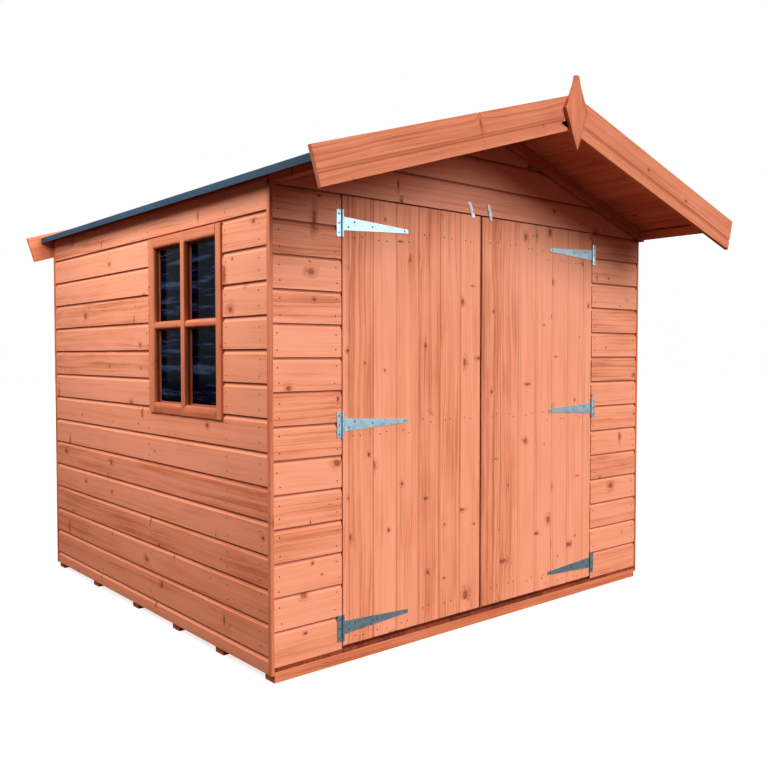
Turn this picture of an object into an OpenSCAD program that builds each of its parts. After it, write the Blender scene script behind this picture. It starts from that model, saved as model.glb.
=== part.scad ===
// Apex garden shed of softwood boards, with double doors under a deep front overhang.
// X runs along the front, Y from front to back and Z up. The origin is at ground level,
// in the middle of the whole shed's plan, roof included. Millimetres.

/* [Walls] */
// Width over the outer faces of the side walls
wall_w = 2134; // [1500:1:3000]
// Depth over the outer faces of the front and back walls
wall_d = 2050; // [1500:1:3600]
// Height of the top of the side walls above the ground
side_h = 1701; // [1560:1:2200]
// Thickness of the wall boards
clad_t = 12; // [8:0.5:22]
// Bottom edge of the side wall boards, which hang over the floor's edge
side_clad_z = 27; // [10:1:36]
// Depth of the wall posts and rails behind the boards
frame_t = 32; // [20:1:60]
// Face width of the wall posts and rails
frame_w = 44; // [30:1:70]
// Face of a corner batten on the sides
corner_side = 18; // [12:1:40]
// How far a corner batten stands out past the boards
corner_proud = 2; // [0:0.5:6]
// Distance from the top of a corner batten to the top of the side walls
corner_short = 35; // [5:1:120]

/* [Floor] */
// Height of a floor bearer
bearer_h = 38; // [30:1:75]
// Width of a floor bearer
bearer_w = 58; // [38:1:90]
// Thickness of the floor boards
deck_t = 14; // [10:0.5:25]
// Free width of each bay between two bearers, from the front, as shares of their sum
bay_shares = [277, 285, 318, 382, 388];

/* [Doorway] */
// Width of the doorway
doorway_w = 1464; // [1200:1:1700]
// Middle of the doorway, right of the middle of the front wall
doorway_x = -39; // [-80:1:80]
// Top of the doorway above the ground
head_z = 1668; // [1500:1:1680]
// Height of the threshold rail
sill_h = 22; // [15:1:50]

/* [Doors] */
// Width of the left door
left_door_w = 706; // [560:1:800]
// Gap between the two doors
seam_gap = 10; // [6:0.5:16]
// Gap between a door and the wall beside it, and over it
door_gap = 5; // [3:0.5:8]
// Bottom edge of the doors above the floor
door_lift = 12; // [6:1:25]
// Gap between the closed doors and what stands behind them
stop_gap = 5; // [3:0.5:8]
// Thickness of the ledges and braces inside the doors
ledge_t = 20; // [14:1:30]
// Height of a ledge
ledge_h = 94; // [60:1:120]
// Face width of a brace
brace_w = 70; // [40:1:100]
// Distance from a door's edges to the ends of its ledges
ledge_inset = 34; // [20:1:80]

/* [Hinges] */
// Height of the bottom hinge above the ground
hinge_low = 129; // [118:1:300]
// Height of the middle hinge
hinge_mid = 855; // [500:1:1000]
// Height of the top hinge
hinge_high = 1564; // [1200:1:1570]
// Height of a hinge's wall plate
plate_h = 94; // [70:1:130]
// Width of a hinge's wall plate
plate_w = 24; // [18:1:45]
// Thickness of the hinge plate and strap
hinge_t = 2.5; // [1.5:0.1:4]
// Length of the strap from the pin
strap_l = 311; // [200:1:400]
// Height of the strap at the pin
strap_root = 48; // [30:1:60]
// Height of the strap at its tip
strap_tip = 14; // [8:1:24]
// Outer radius of the hinge knuckle
knuckle_r = 4.6; // [3.5:0.1:7]
// Radius of the hinge pin
pin_r = 2.4; // [1.5:0.1:4]
// Running clearance around the pin and between the knuckles
pin_play = 0.2; // [0.1:0.05:0.5]

/* [Turn buttons] */
// Length of a turn button
button_l = 66; // [50:1:90]
// Width of a turn button
button_w = 17; // [10:1:25]
// Thickness of a turn button
button_t = 2.5; // [1.5:0.1:5]
// Height of the button screws above the top of the doorway
button_rise = 16; // [12:1:30]
// Distance from the seam to the left button's screw
left_button_off = 62; // [30:1:200]
// Distance from the seam to the right button's screw
right_button_off = 46; // [30:1:200]
// Lean of the left button off the vertical, in degrees
left_button_lean = 24; // [0:1:35]
// Lean of the right button off the vertical, in degrees
right_button_lean = 15; // [0:1:35]
// Radius of the button screw
screw_r = 2.2; // [1.5:0.1:3.5]
// Height of the button screw's head
screw_head_t = 2; // [1:0.1:4]

/* [Window] */
// Middle of the window behind the front face of the shed
window_y = 611; // [500:1:1400]
// Width of the window over its frame
window_w = 596; // [400:1:800]
// Bottom of the window frame above the ground
window_z = 868; // [600:1:1000]
// Height of the window over its frame
window_h = 706; // [400:1:720]
// Width of the outer stiles
stile_w = 44; // [30:1:60]
// Height of the top and bottom rails
rail_w = 42; // [30:1:70]
// Width of the middle post between the two lights
mullion_w = 32; // [30:1:80]
// Height of the glazing bars
bar_w = 30; // [18:1:45]
// How far the window frame stands out past the boards
frame_proud = 8; // [0:1:20]
// Depth of the window frame
window_t = 40; // [38:1:60]
// Distance from the frame's face to the glazing bars
bar_set = 5; // [0:1:10]
// Distance from the frame's face to the glass
glass_set = 32; // [14:1:34]
// Thickness of the glass
glass_t = 3; // [2:0.5:6]

/* [Roof] */
// Slope of the roof, in degrees
pitch = 17.4; // [12:0.1:30]
// Thickness of the roof boards
roof_t = 12; // [8:0.5:22]
// Distance from the side walls to the eaves
eave_out = 52; // [45:1:150]
// Distance from the front wall to the face of the front bargeboards
front_out = 415; // [150:1:600]
// Distance from the back wall to the face of the back bargeboards
back_out = 30; // [25:1:300]
// Depth of a rafter or a purlin under the boards
rafter_h = 44; // [30:1:75]
// Width of a rafter
rafter_w = 28; // [20:1:50]
// Depth of the rails that carry the overhang in line with the side walls
eave_rail_h = 34; // [20:1:60]
// Depth of the ridge beam
ridge_h = 70; // [50:1:120]
// Distance from the middle of the roof to the middle of a purlin
purlin_x = 560; // [350:1:640]
// Thickness of the roofing felt
felt_t = 2; // [1:0.5:4]
// Length of the felt that is folded down at the eaves
felt_drop = 24; // [15:1:50]
// Half width of the strip of felt over the ridge
cap_half = 170; // [100:1:300]

/* [Bargeboards] */
// Depth of a bargeboard, square to its length
barge_h = 122; // [80:1:170]
// Thickness of a bargeboard
barge_t = 16; // [12:1:25]
// Depth of the right front bargeboard, which is of a deeper board
deep_barge_h = 137; // [80:1:180]
// Height of a bargeboard's top edge over the felt
barge_rise = 16; // [4:1:30]
// Further height of the right front bargeboard's outer end
deep_barge_lift = 28; // [0:1:40]
// Distance from the side walls to the top corners of the bargeboards
barge_out = 127; // [90:1:220]
// Height of the finial's point over the bargeboards' top corner
finial_up = 66; // [30:1:100]
// Length of the finial below that corner
finial_down = 210; // [140:1:260]
// Half width of the finial at its shoulders
finial_half = 68; // [40:1:100]
// Half width of the finial's blunt point
finial_tip = 9; // [3:1:20]
// Depth of the shoulders below the bargeboards' top corner
finial_shoulder = 62; // [30:1:90]
// Thickness of the finial
finial_t = 14; // [8:1:25]

/* [Hidden] */
$fn = 48;

// Gap left between two timbers that are nailed to each other
seat = 0.3;

half_w = wall_w / 2;
slope = tan(pitch);
inner_x = half_w - clad_t;
deck_z = bearer_h + deck_t;

// Plan: the front face of the front wall is at y0
y_front = -front_out - finial_t;
y_back = wall_d + back_out + finial_t;
y0 = -(y_front + y_back) / 2;
roof_y0 = -front_out + barge_t + seat;
roof_y1 = wall_d + back_out - barge_t - seat;
frame_y0 = clad_t;
frame_y1 = wall_d - clad_t - frame_t;
side_y0 = clad_t + frame_t + seat;
side_y1 = frame_y1 - seat;

// Doorway and doors
door_x0 = doorway_x - doorway_w / 2;
door_x1 = doorway_x + doorway_w / 2;
left_x0 = door_x0 + door_gap;
left_x1 = left_x0 + left_door_w;
right_x0 = left_x1 + seam_gap;
right_x1 = door_x1 - door_gap;
seam_x = (left_x1 + right_x0) / 2;
door_z0 = deck_z + door_lift;
door_z1 = head_z - door_gap;
hinge_zs = [hinge_low, hinge_mid, hinge_high];
pin_y = -knuckle_r - seat;

// Window
win_y0 = window_y - window_w / 2;
win_y1 = window_y + window_w / 2;
win_z1 = window_z + window_h;
win_x0 = -half_w - frame_proud;
glass_x = win_x0 + glass_set;

// Underside of the roof boards, and the top of the felt, at a distance x from the middle
function under(x) = side_h + seat + (half_w - abs(x)) * slope;
function upright(t) = t / cos(pitch);
function felt_top(x) = under(x) + upright(roof_t + felt_t + seat);
eave_x = half_w + eave_out;
barge_x = half_w + barge_out;
function barge_top(x) = felt_top(x) + barge_rise;
finial_z = barge_top(0);
button_z = head_z + button_rise;

// A box from its lowest to its highest corner
module block(low, high) {
  translate(low) cube(high - low);
}

// An outline in x and z, from y = from to y = to
module plate_xz(points, from, to) {
  translate([0, to, 0]) rotate([90, 0, 0]) linear_extrude(to - from) polygon(points);
}

// The shed's own plan, moved so that the whole lies about the origin
module placed() {
  translate([0, y0, 0]) children();
}

// ---- Floor ----

bay_sum = bay_shares[0] + bay_shares[1] + bay_shares[2] + bay_shares[3] + bay_shares[4];
bearer_count = len(bay_shares) + 1;
free_d = wall_d - bearer_count * bearer_w;
function shares_before(i) = i == 0 ? 0 : shares_before(i - 1) + bay_shares[i - 1];
function bearer_y(i) = i * bearer_w + free_d * shares_before(i) / bay_sum;

module floor_bearers() color("peru") placed()
  for (i = [0:bearer_count - 1])
    block([-inner_x + seat, bearer_y(i), 0], [inner_x - seat, bearer_y(i) + bearer_w, bearer_h]);

module floor_deck() color("tan") placed()
  block([-inner_x + seat, 0, bearer_h], [inner_x - seat, wall_d, deck_z]);

// ---- Walls ----

module side_wall() {
  block([-half_w, corner_side, side_clad_z], [-inner_x, wall_d - corner_side, side_h]);
}

module left_wall() color("sandybrown") placed()
  difference() {
    side_wall();
    block([-half_w - 1, win_y0 - seat, window_z - seat], [-inner_x + 1, win_y1 + seat, win_z1 + seat]);
  }

module right_wall() color("sandybrown") placed() mirror([1, 0, 0]) side_wall();

module front_wall_left() color("sandybrown") placed()
  block([-inner_x, 0, deck_z], [door_x0, clad_t, head_z - seat]);

module front_wall_right() color("sandybrown") placed()
  block([door_x1, 0, deck_z], [inner_x, clad_t, head_z - seat]);

// The triangle of boards under the roof, from height z up, notched for the ridge beam
module gable(z) {
  eave_z = under(inner_x) - seat;
  difference() {
    plate_xz([
      [-inner_x, z], [inner_x, z], [inner_x, eave_z], [0, under(0) - seat], [-inner_x, eave_z]
    ], 0, clad_t);
    block([-rafter_w / 2 - seat, -1, ridge_z0 - seat], [rafter_w / 2 + seat, clad_t + 1, under(0)]);
  }
}

module front_gable() color("sandybrown") placed() gable(head_z);

module back_wall() color("sandybrown") placed()
  translate([0, wall_d - clad_t, 0]) gable(deck_z);

// ---- Wall frames ----

rail_top = side_h - seat;
post_z1 = rail_top - frame_w - seat;
post_z0 = deck_z + frame_w + seat;

// A post of the front or back frame, from x to x + frame_w
module post(x, y, z_from, z_to) {
  block([x, y, z_from], [x + frame_w, y + frame_t, z_to]);
}

// A gable stud under the roof boards
module gable_stud(x, y, z_from) {
  post(x, y, z_from, under(abs(x + frame_w / 2) + frame_w / 2) - seat);
}

module front_frame() color("burlywood") placed() {
  y = frame_y0;
  left_rail = [-inner_x + frame_w + seat, door_x0 - frame_w - seat];
  right_rail = [door_x1 + frame_w + seat, inner_x - frame_w - seat];
  for (ends = [left_rail, right_rail]) {
    block([ends[0], y, deck_z], [ends[1], y + frame_t, deck_z + frame_w]);
    block([ends[0], y, rail_top - frame_w], [ends[1], y + frame_t, rail_top]);
  }
  post(-inner_x, y, deck_z, rail_top);
  post(inner_x - frame_w, y, deck_z, rail_top);
  post(door_x0 - frame_w, y, deck_z, head_z - seat);
  post(door_x1, y, deck_z, head_z - seat);
  // head rail over the doors
  block([door_x0 - frame_w + seat, y, head_z], [door_x1 + frame_w - seat, y + frame_t, head_z + frame_w]);
  post(-frame_w / 2, y, head_z + frame_w + seat, ridge_z0 - seat);
  for (x = [-purlin_x - frame_w / 2, purlin_x - frame_w / 2])
    gable_stud(x, y, head_z + frame_w + seat);
}

module back_frame() color("burlywood") placed() {
  y = frame_y1;
  block([-inner_x, y, deck_z], [inner_x, y + frame_t, deck_z + frame_w]);
  block([-inner_x, y, rail_top - frame_w], [inner_x, y + frame_t, rail_top]);
  for (x = [-inner_x, -purlin_x - frame_w / 2, -frame_w / 2, purlin_x - frame_w / 2, inner_x - frame_w])
    post(x, y, post_z0, post_z1);
  post(-frame_w / 2, y, rail_top + seat, ridge_z0 - seat);
  for (x = [-purlin_x - frame_w / 2, purlin_x - frame_w / 2])
    gable_stud(x, y, rail_top + seat);
}

// The two long rails of a side frame
module side_rails() {
  block([-inner_x, side_y0, deck_z], [-inner_x + frame_t, side_y1, deck_z + frame_w]);
  block([-inner_x, side_y0, rail_top - frame_w], [-inner_x + frame_t, side_y1, rail_top]);
}

// A side post from y to y + frame_w
module side_post(y, z_from, z_to) {
  block([-inner_x, y, z_from], [-inner_x + frame_t, y + frame_w, z_to]);
}

module left_frame() color("burlywood") placed() {
  side_rails();
  for (y = [side_y0, win_y0 - frame_w - seat, win_y1 + seat, side_y1 - frame_w])
    side_post(y, post_z0, post_z1);
  // rail under the window
  block([-inner_x, win_y0, window_z - frame_w - seat], [-inner_x + frame_t, win_y1, window_z - seat]);
}

module right_frame() color("burlywood") placed() mirror([1, 0, 0]) {
  side_rails();
  for (i = [0:3])
    side_post(side_y0 + i * (side_y1 - side_y0 - frame_w) / 3, post_z0, post_z1);
}

// ---- Corner battens and threshold ----

module corner_batten() {
  block(
    [-half_w - corner_proud, -corner_proud, side_clad_z],
    [-inner_x - seat, corner_side - seat, side_h - corner_short]
  );
}

module corner_battens() color("chocolate") placed()
  for (x = [0, 1], y = [0, 1])
    translate([0, y * wall_d, 0]) mirror([0, y, 0]) mirror([x, 0, 0]) corner_batten();

module threshold() color("saddlebrown") placed()
  block([door_x0 + seat, clad_t + stop_gap, deck_z], [door_x1 - seat, clad_t + frame_t, deck_z + sill_h]);

// ---- Window ----

module window_member(y_from, y_to, z_from, z_to) {
  block([win_x0, y_from, z_from], [win_x0 + window_t, y_to, z_to]);
}

light_y = [[win_y0 + stile_w, window_y - mullion_w / 2], [window_y + mullion_w / 2, win_y1 - stile_w]];

module window_frame() color("peru") placed() {
  window_member(win_y0, win_y0 + stile_w - seat, window_z, win_z1);
  window_member(window_y - mullion_w / 2 + seat, window_y + mullion_w / 2 - seat, window_z, win_z1);
  window_member(win_y1 - stile_w + seat, win_y1, window_z, win_z1);
  for (y = light_y) {
    window_member(y[0], y[1], window_z, window_z + rail_w);
    window_member(y[0], y[1], win_z1 - rail_w, win_z1);
  }
}

bar_z = window_z + window_h / 2;

module window_bars() color("peru") placed()
  for (y = light_y)
    block([win_x0 + bar_set, y[0], bar_z - bar_w / 2], [glass_x - seat, y[1], bar_z + bar_w / 2]);

module window_glass() color("darkslategray", 0.6) placed()
  for (y = light_y)
    block([glass_x, y[0], window_z + rail_w + seat], [glass_x + glass_t, y[1], win_z1 - rail_w - seat]);

// ---- Roof ----

ridge_z1 = under(rafter_w / 2) - seat;
ridge_z0 = ridge_z1 - ridge_h;

module roof_boards() {
  rise = upright(roof_t);
  plate_xz([
    [-eave_x, under(eave_x)], [-seat / 2, under(0)],
    [-seat / 2, under(0) + rise], [-eave_x, under(eave_x) + rise]
  ], roof_y0, roof_y1);
}

module roof_boards_left() color("tan") placed() roof_boards();
module roof_boards_right() color("tan") placed() mirror([1, 0, 0]) roof_boards();

module ridge_beam() color("burlywood") placed()
  block([-rafter_w / 2, roof_y0, ridge_z0], [rafter_w / 2, roof_y1, ridge_z1]);

// A rafter that starts at y, from the ridge beam down to the eave
module rafter(y) {
  x0 = rafter_w / 2 + seat;
  x1 = half_w + corner_proud;
  plate_xz([
    [-x1, under(x1) - seat], [-x0, under(x0) - seat],
    [-x0, under(x0) - seat - rafter_h], [-x1, under(x1) - seat - rafter_h]
  ], y, y + rafter_w);
}

module roof_frame() {
  // rail under the overhang, from the first rafter to the front wall
  rail_z1 = under(half_w) - seat;
  rail_y0 = roof_y0 + rafter_w + seat;
  rail_y1 = -corner_proud - rafter_w - 2 * seat;
  block([-half_w, rail_y0, rail_z1 - eave_rail_h], [-half_w + rafter_w, rail_y1, rail_z1]);
  rafter(roof_y0);
  rafter(-corner_proud - seat - rafter_w);
  // purlin between the gable frames
  px = purlin_x + frame_w / 2;
  block([-px, side_y0, under(px) - seat - rafter_h], [-px + frame_w, side_y1, under(px) - seat]);
}

module roof_frame_left() color("burlywood") placed() roof_frame();
module roof_frame_right() color("burlywood") placed() mirror([1, 0, 0]) roof_frame();

// Felt over one slope, folded down over the eave
module roof_felt() {
  low = under(eave_x) + upright(roof_t) - felt_drop;
  gap = upright(seat);
  rise = upright(felt_t);
  z0 = under(0) + upright(roof_t) + gap;
  ze = under(eave_x) + upright(roof_t) + gap;
  plate_xz([
    [-eave_x - seat, low], [-eave_x - seat, ze], [-seat / 2, z0], [-seat / 2, z0 + rise],
    [-eave_x - seat - felt_t, ze + rise], [-eave_x - seat - felt_t, low]
  ], roof_y0, roof_y1);
}

module roof_felt_left() color("darkslateblue") placed() roof_felt();
module roof_felt_right() color("darkslateblue") placed() mirror([1, 0, 0]) roof_felt();

module ridge_felt() color("midnightblue") placed()
  plate_xz([
    [-cap_half, felt_top(cap_half) + seat], [0, felt_top(0) + seat], [cap_half, felt_top(cap_half) + seat],
    [cap_half, felt_top(cap_half) + seat + felt_t], [0, felt_top(0) + seat + felt_t],
    [-cap_half, felt_top(cap_half) + seat + felt_t]
  ], roof_y0, roof_y1);

// ---- Bargeboards and finials ----

// A bargeboard of depth h, with its face at y; lift raises its outer end
module bargeboard(y, h, lift = 0) {
  low_z = barge_top(barge_x) + lift;
  fall = atan2(barge_top(0) - low_z, barge_x);
  plate_xz([
    [-seat / 2, barge_top(0)], [-barge_x, low_z],
    [-barge_x + h * sin(fall), low_z - h * cos(fall)], [-seat / 2, barge_top(0) - h / cos(fall)]
  ], y, y + barge_t);
}

barge_back_y = wall_d + back_out - barge_t;

module front_bargeboard_left() color("sandybrown") placed() bargeboard(-front_out, barge_h);
module front_bargeboard_right() color("sandybrown") placed()
  mirror([1, 0, 0]) bargeboard(-front_out, deep_barge_h, deep_barge_lift);
module back_bargeboard_left() color("sandybrown") placed() bargeboard(barge_back_y, barge_h);
module back_bargeboard_right() color("sandybrown") placed()
  mirror([1, 0, 0]) bargeboard(barge_back_y, barge_h);

// One side of the finial's hollow upper edge, from the point to the shoulder
finial_steps = 12;
finial_hollow = 1.35;
function finial_edge(side) = [
  for (i = [0:finial_steps])
    let (t = i / finial_steps)
    [
      side * (finial_tip + (finial_half - finial_tip) * pow(t, finial_hollow)),
      finial_z + finial_up - (finial_up + finial_shoulder) * t
    ]
];

module finial(y) {
  right_edge = finial_edge(1);
  left_edge = [for (i = [finial_steps:-1:0]) finial_edge(-1)[i]];
  plate_xz(concat(right_edge, [[0, finial_z - finial_down]], left_edge), y, y + finial_t);
}

module front_finial() color("sandybrown") placed() finial(-front_out - finial_t);
module back_finial() color("sandybrown") placed() finial(wall_d + back_out);

// ---- Doors ----

module door_boards(x0, x1) {
  block([x0, 0, door_z0], [x1, clad_t, door_z1]);
}

// Ledges across a door's back, and a brace between each two, rising from the hinge side
module door_ledges(x0, x1, hinge_side) {
  from = x0 + ledge_inset;
  to = x1 - ledge_inset;
  for (z = hinge_zs)
    block([from, clad_t, z - ledge_h / 2], [to, clad_t + ledge_t, z + ledge_h / 2]);
  for (i = [0, 1]) {
    low = hinge_zs[i] + ledge_h / 2 + seat;
    high = hinge_zs[i + 1] - ledge_h / 2 - seat;
    ends = hinge_side == "left" ? [from, to - brace_w] : [to - brace_w, from];
    plate_xz([
      [ends[0], low], [ends[0] + brace_w, low], [ends[1] + brace_w, high], [ends[1], high]
    ], clad_t, clad_t + ledge_t);
  }
}

module left_door_boards() color("sandybrown") placed() door_boards(left_x0, left_x1);
module right_door_boards() color("sandybrown") placed() door_boards(right_x0, right_x1);
module left_door_ledges() color("burlywood") placed() door_ledges(left_x0, left_x1, "left");
module right_door_ledges() color("burlywood") placed() door_ledges(right_x0, right_x1, "right");

// ---- Hinges ----

left_pin_x = door_x0 + door_gap / 2;
right_pin_x = door_x1 - door_gap / 2;

// A strap along +X from its pin at the origin, lying on the face of the door
module strap() {
  difference() {
    union() {
      rotate([90, 0, 0]) linear_extrude(hinge_t)
        polygon([
          [0, -strap_root / 2], [strap_l, -strap_tip / 2], [strap_l, strap_tip / 2], [0, strap_root / 2]
        ]);
      translate([0, pin_y, -strap_root / 2]) cylinder(h = strap_root, r = knuckle_r);
    }
    translate([0, pin_y, -plate_h / 2]) cylinder(h = plate_h, r = pin_r + pin_play);
  }
}

// A wall plate along -X from its pin, with the pin and the two outer knuckles
module hinge_plate() {
  knuckle_h = (plate_h - strap_root) / 2 - pin_play;
  clear_r = knuckle_r + seat;
  difference() {
    translate([-plate_w, -hinge_t, -plate_h / 2]) cube([plate_w, hinge_t, plate_h]);
    translate([0, pin_y, -strap_root / 2 - pin_play])
      cylinder(h = strap_root + 2 * pin_play, r = clear_r);
  }
  for (z = [-plate_h / 2, plate_h / 2 - knuckle_h])
    translate([0, pin_y, z]) cylinder(h = knuckle_h, r = knuckle_r);
  translate([0, pin_y, -plate_h / 2]) cylinder(h = plate_h, r = pin_r);
}

module at_hinges(x) {
  for (z = hinge_zs)
    translate([x, 0, z]) children();
}

module left_door_straps() color("lightsteelblue") placed() at_hinges(left_pin_x) strap();
module right_door_straps() color("lightsteelblue") placed()
  at_hinges(right_pin_x) rotate([0, 180, 0]) strap();
module left_hinge_plates() color("lightsteelblue") placed() at_hinges(left_pin_x) hinge_plate();
module right_hinge_plates() color("lightsteelblue") placed()
  at_hinges(right_pin_x) rotate([0, 180, 0]) hinge_plate();

// ---- Turn buttons ----

button_y = -seat;
left_button_x = seam_x - left_button_off;
right_button_x = seam_x + right_button_off;

// A flat bar with round ends, leaning its lower end to the right, on its screw
module turn_button(x, lean) {
  reach = (button_l - button_w) / 2;
  translate([x, button_y, button_z]) rotate([90, 0, 0]) difference() {
    rotate([0, 0, lean]) linear_extrude(button_t) union() {
      square([button_w, 2 * reach], center = true);
      for (end = [-reach, reach])
        translate([0, end]) circle(d = button_w);
    }
    translate([0, 0, -1]) cylinder(h = button_t + 2, r = screw_r + pin_play);
  }
}

module left_turn_button() color("silver") placed() turn_button(left_button_x, left_button_lean);
module right_turn_button() color("silver") placed() turn_button(right_button_x, right_button_lean);

module turn_button_screws() color("gray") placed()
  for (x = [left_button_x, right_button_x])
    translate([x, 0, button_z]) rotate([90, 0, 0]) {
      cylinder(h = seat + button_t + seat, r = screw_r);
      translate([0, 0, seat + button_t + seat]) cylinder(h = screw_head_t, r = 2 * screw_r);
    }

floor_bearers();
floor_deck();
front_wall_left();
front_wall_right();
front_gable();
left_wall();
right_wall();
back_wall();
front_frame();
left_frame();
right_frame();
back_frame();
corner_battens();
threshold();
window_frame();
window_bars();
window_glass();
roof_boards_left();
roof_boards_right();
ridge_beam();
roof_frame_left();
roof_frame_right();
roof_felt_left();
roof_felt_right();
ridge_felt();
front_bargeboard_left();
front_bargeboard_right();
back_bargeboard_left();
back_bargeboard_right();
front_finial();
back_finial();
left_door_boards();
left_door_ledges();
left_door_straps();
left_hinge_plates();
right_door_boards();
right_door_ledges();
right_door_straps();
right_hinge_plates();
left_turn_button();
right_turn_button();
turn_button_screws();
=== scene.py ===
# %% [markdown]
# # An apex garden shed in stained softwood
# The shed is a timber frame clad in shiplap boards, with two ledged doors hung on T hinges,
# a small side window and a felted roof that reaches out over the doors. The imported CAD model
# gives every place and size, so it is loaded first and nothing in it is moved. What the CAD
# model leaves plain (the boards, nails, mouldings and screws) is built here on top of it.

# %% Load the frame
import math

import bpy
import numpy as np
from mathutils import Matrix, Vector


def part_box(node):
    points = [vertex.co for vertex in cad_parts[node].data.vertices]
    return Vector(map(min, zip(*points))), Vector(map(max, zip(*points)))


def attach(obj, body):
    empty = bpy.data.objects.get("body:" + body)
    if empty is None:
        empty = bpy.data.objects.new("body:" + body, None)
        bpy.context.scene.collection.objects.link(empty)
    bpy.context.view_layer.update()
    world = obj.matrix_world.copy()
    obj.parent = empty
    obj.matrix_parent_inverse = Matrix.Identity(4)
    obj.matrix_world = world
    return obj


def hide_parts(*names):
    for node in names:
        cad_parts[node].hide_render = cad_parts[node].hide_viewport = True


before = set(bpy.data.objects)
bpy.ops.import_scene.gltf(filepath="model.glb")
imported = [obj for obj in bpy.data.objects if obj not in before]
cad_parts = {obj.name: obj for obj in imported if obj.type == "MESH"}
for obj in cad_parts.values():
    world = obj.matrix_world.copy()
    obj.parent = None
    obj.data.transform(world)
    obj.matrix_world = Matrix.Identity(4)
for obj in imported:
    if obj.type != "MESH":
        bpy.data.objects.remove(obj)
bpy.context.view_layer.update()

# %% [markdown]
# ## Sizes shared by many pieces
# The roof's underside is a plane on each side, so one small function gives its height at any
# distance from the middle. Walls, gables, bargeboards and felt all ask it, which keeps them
# in line with each other. Everything else is read from the boxes of the CAD nodes.

# %% Shared sizes
MM = 0.001
SEAT = 0.3 * MM
PITCH = math.radians(17.4)
BOARD_T = 12 * MM
COVER = 115 * MM
HALF_W = -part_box("left_wall")[0].x
SIDE_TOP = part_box("left_wall")[1].z
FRONT_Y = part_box("front_wall_left")[0].y
BACK_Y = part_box("back_wall")[1].y
DECK_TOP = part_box("floor_deck")[1].z
EAVE_X = -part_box("roof_boards_left")[0].x


def underside(x):
    """Height of the roof boards' underside: the wall's top plus the way in from the wall times the slope."""
    return SIDE_TOP + SEAT + (HALF_W - abs(x)) * math.tan(PITCH)


print(f"walls {2 * HALF_W:.3f} m wide, ridge underside at {underside(0):.3f} m")

# %% [markdown]
# ## The camera
# A 39 mm lens stands at the height of the door's middle, to the left of the front corner, and
# looks along the diagonal of the plan. It is turned with two angles, a yaw and a small pitch.

# %% Camera
camera = bpy.data.objects.new("camera", bpy.data.cameras.new("camera"))
bpy.context.scene.collection.objects.link(camera)
camera.data.sensor_width = 36
camera.data.lens = 39.09
camera.location = (-2.55776, -3.17556, 1.10213)
camera.rotation_euler = (math.pi / 2 - 0.0348, 0, -0.7024)
camera.data.clip_end = 100
bpy.context.scene.camera = camera
print("camera at", tuple(camera.location))

# %% [markdown]
# ## Small helpers for materials
# Colours are written as the hex values that a paint program shows and turned to linear light
# by one function. One other function adds a node, sets its inputs and makes its links, so each
# material below reads as a list of steps.


# %% Colour and node helpers
def to_linear(code, alpha=1.0):
    """sRGB hex to linear: c / 12.92 under 0.04045, else ((c + 0.055) / 1.055) to the power 2.4."""
    c = np.array([int(code[i : i + 2], 16) / 255 for i in (1, 3, 5)])
    linear = np.where(c <= 0.04045, c / 12.92, ((c + 0.055) / 1.055) ** 2.4)
    return (*linear.tolist(), alpha)


def add(tree, kind, inputs=(), **settings):
    """Adds one node. Settings are its properties; inputs maps a socket's name or number to a value or to
    another node's output."""
    made = tree.nodes.new(kind)
    for key, value in settings.items():
        setattr(made, key, value)
    for key, value in dict(inputs).items():
        if isinstance(value, bpy.types.NodeSocket):
            tree.links.new(value, made.inputs[key])
        else:
            made.inputs[key].default_value = value
    return made


def new_material(name):
    """A material with a node tree that holds only its output and one Principled shader, joined."""
    material = bpy.data.materials.new(name)
    material.use_nodes = True
    tree = material.node_tree
    tree.nodes.clear()
    shader = add(tree, "ShaderNodeBsdfPrincipled")
    add(tree, "ShaderNodeOutputMaterial", {"Surface": shader.outputs[0]})
    return material, tree, shader


def ramp(tree, value, stops):
    """A colour ramp over value; stops are pairs of a place from 0 to 1 and a hex colour."""
    made = add(tree, "ShaderNodeValToRGB", {"Fac": value})
    elements = made.color_ramp.elements
    while len(elements) < len(stops):
        elements.new(0.5)
    for element, (place, code) in zip(elements, stops):
        element.position = place
        element.color = to_linear(code)
    return made.outputs["Color"]


def blend(tree, share, first, second):
    """Mixes two colours: first * (1 - share) + second * share."""
    made = add(tree, "ShaderNodeMix", {0: share, 6: first, 7: second}, data_type="RGBA")
    return made.outputs[2]


print("white in linear light:", to_linear("#FFFFFF"))

# %% [markdown]
# ## Dip-stained softwood
# The boards are spruce, sawn through and through, planed and dipped in a thin orange stain. The
# stain lets the grain show as soft streaks a few millimetres wide that run the length of a
# board, and knots soak up more of it and go dark red-brown. Every board carries an attribute
# "grain": its own coordinates in metres, along, across and out, moved by a chance amount, so no
# two boards share a pattern and the grain follows each board whichever way it is nailed.
#
# A knot is the nearest point of a cell pattern, 300 mm by 100 mm to a cell. The offset to that
# point, measured in real millimetres, gives an oval, or for some a spike that lies across the
# board. The large ones are ringed, and a ragged stain swirls round each. The grain's across
# coordinate is drawn towards the knot inside a few radii, so the streaks part and flow round it.


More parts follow.
